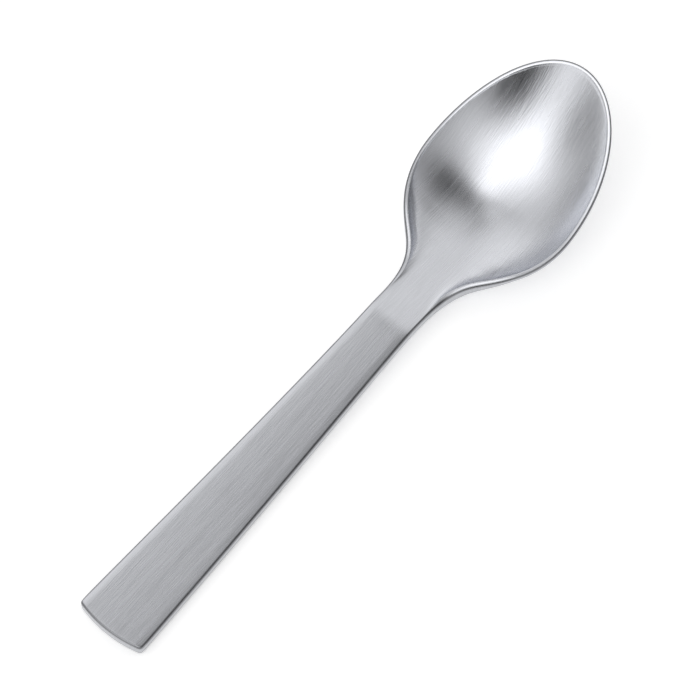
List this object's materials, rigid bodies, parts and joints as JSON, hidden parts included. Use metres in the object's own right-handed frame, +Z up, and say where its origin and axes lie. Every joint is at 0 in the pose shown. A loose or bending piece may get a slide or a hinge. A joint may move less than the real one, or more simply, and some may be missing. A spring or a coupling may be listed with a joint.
{
  "type": "espresso spoon",
  "caption": "Small stirring spoon with an oval bowl, a narrow neck and a flat tapering handle with a bowed end, in brushed stainless steel.",
  "frame": {"origin": "centre of the bounding box on the table that the spoon lies on", "axes": "+X from the end of the handle to the tip of the bowl, +Y to the left as seen along +X from above, +Z up from the table"},
  "size_m": [0.1088, 0.0272, 0.0165],
  "materials": {
    "steel": "fine brushed satin, the lines along the spoon"
  },
  "bodies": {
    "root": {"spoon": "steel"}
  },
  "joints": []
}
